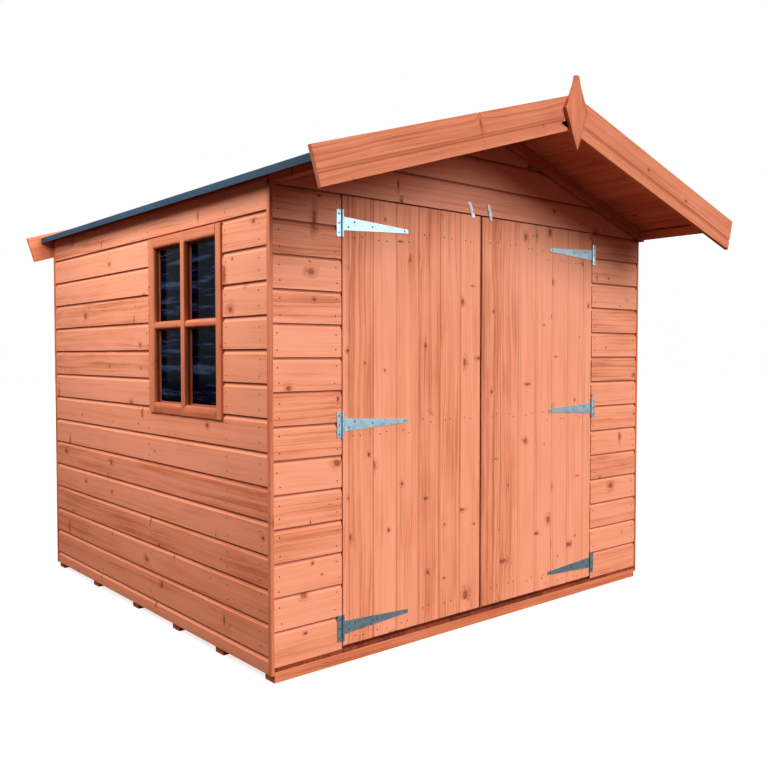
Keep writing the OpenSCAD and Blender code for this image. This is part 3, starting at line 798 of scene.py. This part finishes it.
# Hot-dip galvanised steel: dull, pale blue-grey, flakes of about 7 mm, with painted shade that turns it slate
# grey towards the ground.
GALVANISED = metal("galvanised_steel", "#C6DEE8", "#ACC8D4", 0.36, 7 * MM, 0.5)
# Bright zinc plate: smoother and whiter, with faint clouding.
ZINC = metal("zinc_plated_steel", "#F0F4F8", "#98A2AC", 0.28, 12 * MM)
# Cut nails: dark and browned.
NAIL = metal("browned_nail_steel", "#5A3220", "#34190E", 0.6, 3 * MM)
# Screws: dark plated steel, dull.
SCREW = metal("dark_plated_screw_steel", "#56707E", "#22303A", 0.45, 4 * MM)
for node in ("left_door_straps", "right_door_straps", "left_hinge_plates", "right_hinge_plates"):
    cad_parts[node].data.materials.clear()
    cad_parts[node].data.materials.append(GALVANISED)
for node in ("left_turn_button", "right_turn_button", "turn_button_screws"):
    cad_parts[node].data.materials.clear()
    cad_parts[node].data.materials.append(ZINC)
print("metals:", GALVANISED.name, ZINC.name, NAIL.name)


# %% Nail and screw heads
NAIL_R, NAIL_RISE = 2.6 * MM, 0.5 * MM
SCREW_R, SCREW_RISE = 3.4 * MM, 1.3 * MM


def heads(centres, out, radius, rise, sides=8):
    """One low dome for each centre: rings of 1, 1 and 0.6 times the radius at -0.4, 0.35 and 1 times the
    rise, and a flat top. Its back, inside the board, is left open."""
    turn = np.linspace(0, 2 * np.pi, sides, endpoint=False)
    u = np.array([-out[1], out[0], 0.0])
    ring = np.cos(turn)[:, None] * u + np.sin(turn)[:, None] * Z
    levels = [(1.0, -0.4 * rise), (1.0, 0.35 * rise), (0.6, rise)]
    template = np.concatenate([ring * radius * r + np.asarray(out) * h for r, h in levels])
    places = (np.asarray(centres)[:, None] + template).reshape(-1, 3)
    i, j = np.meshgrid(np.arange(2), np.arange(sides), indexing="ij")
    k = (j + 1) % sides
    here, there = i * sides, (i + 1) * sides
    quads = np.stack([here + j, here + k, there + k, there + j], -1).reshape(-1, 4)
    cap = np.arange(sides) + 2 * sides
    if np.dot(np.cross(u, Z), out) < 0:
        quads, cap = quads[:, ::-1], cap[::-1]
    base = (np.arange(len(centres)) * 3 * sides)[:, None, None]
    faces = (quads + base).reshape(-1, 4).tolist() + (cap + base[:, 0]).tolist()
    return {"places": places, "faces": faces}


def wall_nails(joints, columns, fixed, axis, seed):
    """Two nails a board, 26 and 78 mm above its lower edge, in each column; each a little off its line."""
    chance = np.random.default_rng(seed)
    z = (np.array(joints)[:, None] + [26 * MM, 78 * MM]).ravel()
    c, z = [g.ravel() for g in np.meshgrid(columns, z)]
    c = c + chance.normal(0, 3.5 * MM, len(c))
    z = z + chance.normal(0, 4 * MM, len(z))
    return np.asarray(fixed) + c[:, None] * axis + z[:, None] * Z


def columns_of(node, axis):
    """Middles of a frame's upright posts along an axis."""
    found = [p for p in bars(node) if np.ptp(p[:, 2]) > 0.9]
    return sorted({round(float((p[:, axis].min() + p[:, axis].max()) / 2), 3) for p in found})


side_joints = courses(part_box("left_wall")[0].z, SIDE_TOP, SIDE_JOINT)[1:-1]
posts = columns_of("left_frame", 1)
left_nails = wall_nails(side_joints, posts, -X * HALF_W, Y, 1)
right_nails = wall_nails(side_joints, columns_of("right_frame", 1), X * HALF_W, Y, 2)
front_joints = courses(DECK_TOP, 1.66, FRONT_JOINT)[1:-1]
front_nails = wall_nails(front_joints, columns_of("front_frame", 0), Y * FRONT_Y, X, 3)
back_nails = wall_nails(front_joints, columns_of("back_frame", 0), Y * BACK_Y, X, 4)
faced = [(left_nails, -X), (right_nails, X), (front_nails, -Y), (back_nails, Y)]
nails = [heads(centres, out, NAIL_R, NAIL_RISE) for centres, out in faced]
make_piece("wall_nails", nails, "root", NAIL)


def door_nails(node, strip, hand, seed):
    """A pair of nails in each board at each ledge, 30 mm apart and a little off level."""
    chance = np.random.default_rng(seed)
    lo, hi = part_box(node + "_boards")
    edge = lo.x if hand > 0 else hi.x
    middles = edge + hand * (strip + DOOR_COVER * np.arange(6) + 40 * MM)
    pairs = (middles[:, None] + [-16 * MM, 16 * MM]).ravel()
    x, z = [g.ravel() for g in np.meshgrid(pairs, HINGE_Z)]
    away = np.abs(x - edge) > 0.33
    x, z = x + chance.normal(0, 4 * MM, len(x)), z + chance.normal(-4 * MM, 5 * MM, len(z))
    z = np.where(away, z, z - 38 * MM)
    return heads(np.stack([x, np.full(len(x), lo.y), z], -1), -Y, NAIL_R, NAIL_RISE)


HINGE_Z = sorted({round(float((p[:, 2].min() + p[:, 2].max()) / 2), 4) for p in bars("left_door_straps")})
make_piece("left_door_nails", [door_nails("left_door", LEFT_STRIP, 1, 21)], "left_door", NAIL)
make_piece("right_door_nails", [door_nails("right_door", RIGHT_STRIP, -1, 22)], "right_door", NAIL)


def hinge_screws(name, node, places, side, body):
    """Screw heads at (from the pin, up) places on each strap or plate of a node."""
    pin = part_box(node)[0].x if side * (1 if "straps" in node else -1) > 0 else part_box(node)[1].x
    face = FRONT_Y - 2.5 * MM
    centres = [(pin + side * u * MM, face, z + v * MM) for z in HINGE_Z for u, v in places]
    make_piece(name, [heads(np.array(centres), -Y, SCREW_R, SCREW_RISE, 10)], body, SCREW)


STRAP_SCREWS = [(32, -11), (60, 9), (142, 0), (298, 0)]
PLATE_SCREWS = [(-19, 33), (-19, 0), (-19, -33)]
hinge_screws("left_strap_screws", "left_door_straps", STRAP_SCREWS, 1, "left_door")
hinge_screws("right_strap_screws", "right_door_straps", STRAP_SCREWS, -1, "right_door")
hinge_screws("left_plate_screws", "left_hinge_plates", PLATE_SCREWS, 1, "root")
hinge_screws("right_plate_screws", "right_hinge_plates", PLATE_SCREWS, -1, "root")

# %% [markdown]
# ## Roofing felt
# Bitumen felt with a mineral face, in two wide strips with a third over the ridge. It is a
# thin skin that sags a little between the boards and folds down over the eaves.

# %% Felt
material, tree, shader = new_material("mineral_faced_bitumen_felt")
where = add(tree, "ShaderNodeTexCoord").outputs["Object"]
grit = add(tree, "ShaderNodeTexNoise", {"Vector": where, "Scale": 420.0, "Detail": 2.0}).outputs[0]
cloud = add(tree, "ShaderNodeTexNoise", {"Vector": where, "Scale": 3.0, "Detail": 4.0}).outputs[0]
both = add(tree, "ShaderNodeMath", {0: cloud, 1: 0.5, 2: grit}, operation="MULTIPLY_ADD").outputs[0]
tree.links.new(ramp(tree, both, [(0.45, "#142434"), (0.95, "#35566E")]), shader.inputs["Base Color"])
shader.inputs["Roughness"].default_value = 0.85
bump = add(tree, "ShaderNodeBump", {"Height": grit, "Strength": 0.6, "Distance": 0.6 * MM})
tree.links.new(bump.outputs[0], shader.inputs["Normal"])
FELT = material


def felt_outline(first, last, drop):
    """A 2 mm skin from first to last down the slope, then turned straight down for the length of drop.
    first is a pair, for the under side and the top side, so that two strips can meet in a mitre."""
    top = [(a, 2 * MM) for a in np.linspace(first[1], last, 24)]
    down = np.array([math.sin(PITCH), -math.cos(PITCH)])
    side = np.array([math.cos(PITCH), math.sin(PITCH)])
    edge = np.array([last, 0.0])
    if drop:
        turn = np.linspace(math.pi / 2, PITCH, 5)[1:]
        top += [tuple(edge + 2 * MM * np.array([math.cos(t), math.sin(t)])) for t in turn]
        top += [tuple(edge + side * 2 * MM + down * drop)]
        bottom = [tuple(edge + down * drop), tuple(edge)]
    else:
        bottom = [tuple(edge)]
    bottom += [(a, 0.0) for a in np.linspace(last, first[0], 24)[1:]]
    return np.array(top + bottom)[::-1]


def felt_strip(name, side, first, last, lift, drop, seed):
    """Sweeps a strip from front to back. Away from the eaves it rises and falls by up to about 0.6 mm, by
    sin(23 x) sin(9 y + 4 x) + 0.6 sin(31 y + 17 x), times 0.35 mm."""
    flip = np.array([side, 1, 1])
    lo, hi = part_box(f"roof_felt_{name}")
    origin = (Z * underside(0) + LIFT * (BOARD_T + lift)) * flip
    section = felt_outline(first, last, drop)
    part = sweep(section, lo.y, hi.y, origin, Y, SLOPE * flip, LIFT * flip, seed, step=0.06, fall=0)
    x, y = part["places"][:, 0], part["places"][:, 1]
    ripple = np.sin(x * 23 + seed) * np.sin(y * 9 + x * 4) + 0.6 * np.sin(y * 31 + x * 17 + seed)
    part["places"][:, 2] += 0.35 * MM * ripple * (np.abs(x) < EAVE_X - 20 * MM)
    return part


left = felt_strip("left", 1, (1 * MM, 1 * MM), slope_l, SEAT, 24 * MM, 61)
make_piece("roof_felt_left_sheet", [left], "root", FELT, ["roof_felt_left"], sharp=50)
right = felt_strip("right", -1, (1 * MM, 1 * MM), slope_l, SEAT, 24 * MM, 62)
make_piece("roof_felt_right_sheet", [right], "root", FELT, ["roof_felt_right"], sharp=50)
CAP_LIFT = 2.9 * MM
mitre = tuple(-(BOARD_T + CAP_LIFT + t) * math.tan(PITCH) for t in (0, 2 * MM))
cap = [felt_strip("left", side, mitre, 178 * MM, CAP_LIFT, 0, 63) for side in (1, -1)]
make_piece("ridge_felt_cap", cap, "root", FELT, ["ridge_felt"], sharp=50)
print("felt:", FELT.name)

# %% [markdown]
# ## The window
# The window is fixed: two stiles, a middle post and short rails make two tall lights, and a bar
# halves each of them. The members have rounded inner edges, widest on the sill, which sheds the
# rain. Each pane is bedded in a narrow sloping bead. A bead is four quads between a rectangle at
# the front and a smaller one at the glass, which gives mitred corners without any cutting.

# %% Window joinery
WINDOW_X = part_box("window_frame")[0].x


def joinery(points, low_edge, high_edge, seed, back=0.0, reach=0.0):
    """A straight member with a quarter round on each long edge: (w (1 - cos t), -d (1 - sin t)) for an edge
    of width w and depth d. Its sides take painted shade where they lie more than 15 mm behind the frame's
    face. back sets it in from the frame's face, and reach lengthens it over its neighbours."""
    lo, hi = points.min(0), points.max(0)
    upright = hi[2] - lo[2] > hi[1] - lo[1]
    along, across = (Z, Y) if upright else (Y, Z)
    start, stop = lo @ along - reach, hi @ along + reach
    c0, c1, thick = lo @ across, hi @ across, hi[0] - lo[0]
    t = np.linspace(0, math.pi / 2, 6)
    rounds = [
        np.c_[edge[0] * (1 - np.cos(t)), -edge[1] * (1 - np.sin(t))] for edge in (low_edge, high_edge)
    ]
    sides = -np.array([16.5 * MM, 15 * MM])
    front = np.concatenate(
        [
            np.c_[np.full(2, c0), sides],
            rounds[0] + (c0, 0),
            (rounds[1] * (-1, 1) + (c1, 0))[::-1],
            np.c_[np.full(2, c1), sides[::-1]],
        ]
    )
    outline = np.concatenate([front, [(c1, -thick), (c0, -thick)]])
    part = sweep(outline, start, stop, X * (WINDOW_X + back), along, across, -X, seed, fall=0)
    # painted shade on the sides deeper than 15 mm, full from 16.5 mm
    depth = part["places"][:, 0] - WINDOW_X
    part["recess_shade"] = np.clip((depth - 15 * MM) / (1.5 * MM), 0, 1)
    return part


members = bars("window_frame")
far_y = max(p[:, 1].max() for p in members)
near_y = min(p[:, 1].min() for p in members)
high_z = max(p[:, 2].max() for p in members)
STILE_ROUND, POST_ROUND, SILL_ROUND = (12 * MM, 9 * MM), (4 * MM, 5 * MM), (20 * MM, 13 * MM)
SQUARE = (1 * MM, 1 * MM)
frame_parts = []
for k, points in enumerate(members):
    lo, hi = points.min(0), points.max(0)
    if hi[2] - lo[2] > hi[1] - lo[1]:
        low_edge = SQUARE if lo[1] <= near_y else STILE_ROUND if hi[1] >= far_y else POST_ROUND
        high_edge = SQUARE if hi[1] >= far_y else STILE_ROUND if lo[1] <= near_y else POST_ROUND
        frame_parts.append(joinery(points, low_edge, high_edge, 7000 + k))
    elif hi[2] >= high_z:
        frame_parts.append(joinery(points, STILE_ROUND, SQUARE, 7000 + k, reach=4 * MM))
    else:
        frame_parts.append(joinery(points, SQUARE, SILL_ROUND, 7000 + k, reach=4 * MM))
make_piece("window_frame_joinery", frame_parts, "root", TRIM, ["window_frame"], sharp=20)
bar_round = (11 * MM, 11 * MM)
bar_parts = [
    joinery(points, bar_round, bar_round, 7100 + k, back=5 * MM, reach=4 * MM)
    for k, points in enumerate(bars("window_bars"))
]
make_piece("window_bars_joinery", bar_parts, "root", TRIM, ["window_bars"], sharp=20)


def bead(y0, y1, z0, z1, front, glass, width, seed):
    """Three rectangles: the opening's edge at the front, the same edge set in by width at the glass, and the
    opening's edge at the glass. Quads join each to the next and the last to the first."""
    def ring(x, inset):
        near, far, low, high = y0 + inset, y1 - inset, z0 + inset, z1 - inset
        return [(x, near, low), (x, far, low), (x, far, high), (x, near, high)]

    places = np.array(ring(front, 0) + ring(glass, width) + ring(glass, 0))
    i, j = np.meshgrid(np.arange(3), np.arange(4), indexing="ij")
    k, m = (j + 1) % 4, (i + 1) % 3
    quads = np.stack([i * 4 + j, m * 4 + j, m * 4 + k, i * 4 + k], -1).reshape(-1, 4)
    shift = np.random.default_rng(seed).uniform(0, 30, 3)
    return {
        "places": places,
        "faces": quads.tolist(),
        "grain": places[:, [1, 2, 0]] + shift,
        "tone": np.full(12, 0.4),
        # the whole bead takes painted shade
        "recess_shade": np.ones(12),
    }


glass_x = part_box("window_glass")[0].x
lights = [(p[:, 1].min(), p[:, 1].max(), p[:, 2].min(), p[:, 2].max()) for p in bars("window_glass")]
bar_low, bar_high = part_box("window_bars")
BEAD_W = 4 * MM
front, back = glass_x - 6 * MM, glass_x - 0.2 * MM
beads = []
for k, (y0, y1, z0, z1) in enumerate(lights):
    beads.append(bead(y0, y1, z0, bar_low.z, front, back, BEAD_W, 70 + k))
    beads.append(bead(y0, y1, bar_high.z, z1, front, back, BEAD_W, 80 + k))
make_piece("window_beads", beads, "root", BOARDS, sharp=20)

# %% Glass
# Horticultural glass over a dark inside. Its colour is painted shade, a navy that stands for the dark inside,
# and its faint level bands, 20 to 40 mm high, are painted reflections.
material, tree, shader = new_material("window_glass")
where = add(tree, "ShaderNodeTexCoord").outputs["Object"]
drawn = add(tree, "ShaderNodeVectorMath", {0: where, 1: (1.0, 2.4, 30.0)}, operation="MULTIPLY").outputs[0]
reflection_bands = add(
    tree, "ShaderNodeTexNoise", {"Vector": drawn, "Scale": 1.0, "Detail": 3.0, "Roughness": 0.65}
).outputs[0]
# painted shade and painted reflections: a navy ramp, lighter in the level bands
tint = ramp(tree, reflection_bands, [(0.44, "#020310"), (0.50, "#060C20"), (0.53, "#14203A"), (0.62, "#34465E")])
tree.links.new(tint, shader.inputs["Base Color"])
shader.inputs["Roughness"].default_value = 0.08
shader.inputs["IOR"].default_value = 1.18
shader.inputs["Specular IOR Level"].default_value = 0.2
shader.inputs["Specular Tint"].default_value = to_linear("#2A3A66")
shader.inputs["Alpha"].default_value = 0.97
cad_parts["window_glass"].data.materials.clear()
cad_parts["window_glass"].data.materials.append(material)
print("panes:", 2 * len(lights))

# %% [markdown]
# ## Floor and light
# A pale floor and a bright surround, as in a studio sweep. A soft sun shines from the front
# right, a softbox stands close above the left side, and a weak sun fills the back. The camera
# sees the floor and the surround white, but they light the shed weakly, and the surround lights
# it warm, which keeps the shade deep and orange.

# %% Stage
mesh = bpy.data.meshes.new("studio_floor")
mesh.from_pydata([(-30, -30, 0), (30, -30, 0), (30, 30, 0), (-30, 30, 0)], [], [(0, 1, 2, 3)])
ground = bpy.data.objects.new("studio_floor", mesh)
bpy.context.scene.collection.objects.link(ground)
material, tree, shader = new_material("studio_floor_paint")
seen = add(tree, "ShaderNodeLightPath").outputs["Is Camera Ray"]
paint = blend(tree, seen, (0.04, 0.016, 0.008, 1), (0.3, 0.3, 0.3, 1))
tree.links.new(paint, shader.inputs["Base Color"])
glow = add(tree, "ShaderNodeMath", {0: seen, 1: 0.82}, operation="MULTIPLY").outputs[0]
shader.inputs["Emission Color"].default_value = (1, 1, 1, 1)
tree.links.new(glow, shader.inputs["Emission Strength"])
shader.inputs["Roughness"].default_value = 0.9
mesh.materials.append(material)

world = bpy.data.worlds.new("studio")
bpy.context.scene.world = world
world.use_nodes = True
tree = world.node_tree
tree.nodes.clear()
aim = add(tree, "ShaderNodeTexCoord").outputs["Generated"]
up = add(tree, "ShaderNodeSeparateXYZ", {"Vector": aim}).outputs[2]
span = {"From Min": 0.05, "From Max": 0.6, "To Min": 0.03, "To Max": 0.7}
sky = add(tree, "ShaderNodeMapRange", {"Value": up, **span})
path = add(tree, "ShaderNodeLightPath")
span = {"From Min": -0.25, "From Max": 0.12, "To Min": 0.05, "To Max": 1.3}
horizon = add(tree, "ShaderNodeMapRange", {"Value": up, **span})
lit = add(
    tree, "ShaderNodeMix", {0: path.outputs["Is Glossy Ray"], 2: sky.outputs[0], 3: horizon.outputs[0]}
)
strength = add(tree, "ShaderNodeMix", {0: path.outputs["Is Camera Ray"], 2: lit.outputs[0], 3: 1.0})
tint = blend(tree, path.outputs["Is Diffuse Ray"], (1.0, 1.0, 1.0, 1), (1.0, 0.46, 0.24, 1))
background = add(tree, "ShaderNodeBackground", {"Color": tint, "Strength": strength.outputs[0]})
add(tree, "ShaderNodeOutputWorld", {"Surface": background.outputs[0]})


def lamp(name, kind, place, target, power, spread):
    """A lamp at place, turned to target. spread is a sun's angle in degrees or a softbox's side in metres."""
    made = bpy.data.objects.new(name, bpy.data.lights.new(name, kind))
    bpy.context.scene.collection.objects.link(made)
    if kind == "SUN":
        made.data.angle = math.radians(spread)
    else:
        made.data.size = spread
    made.data.energy = power
    made.data.color = (0.93, 1.0, 1.04)
    made.location = place
    made.rotation_euler = (Vector(target) - Vector(place)).to_track_quat("-Z", "Y").to_euler()


lamp("front_sun", "SUN", (1.2, -5.0, 2.6), (0, 0, 0.5), 2.8, 40)
lamp("side_softbox", "AREA", (-2.75, 0.1, 2.95), (-1.07, 0.2, 1.5), 73, 1.5)
lamp("back_fill", "SUN", (2.5, 5.0, 1.8), (0, 0, 0.8), 1.1, 40)
bpy.context.scene.view_settings.view_transform = "Standard"
bpy.context.scene.view_settings.gamma = 0.88
print("stage ready")
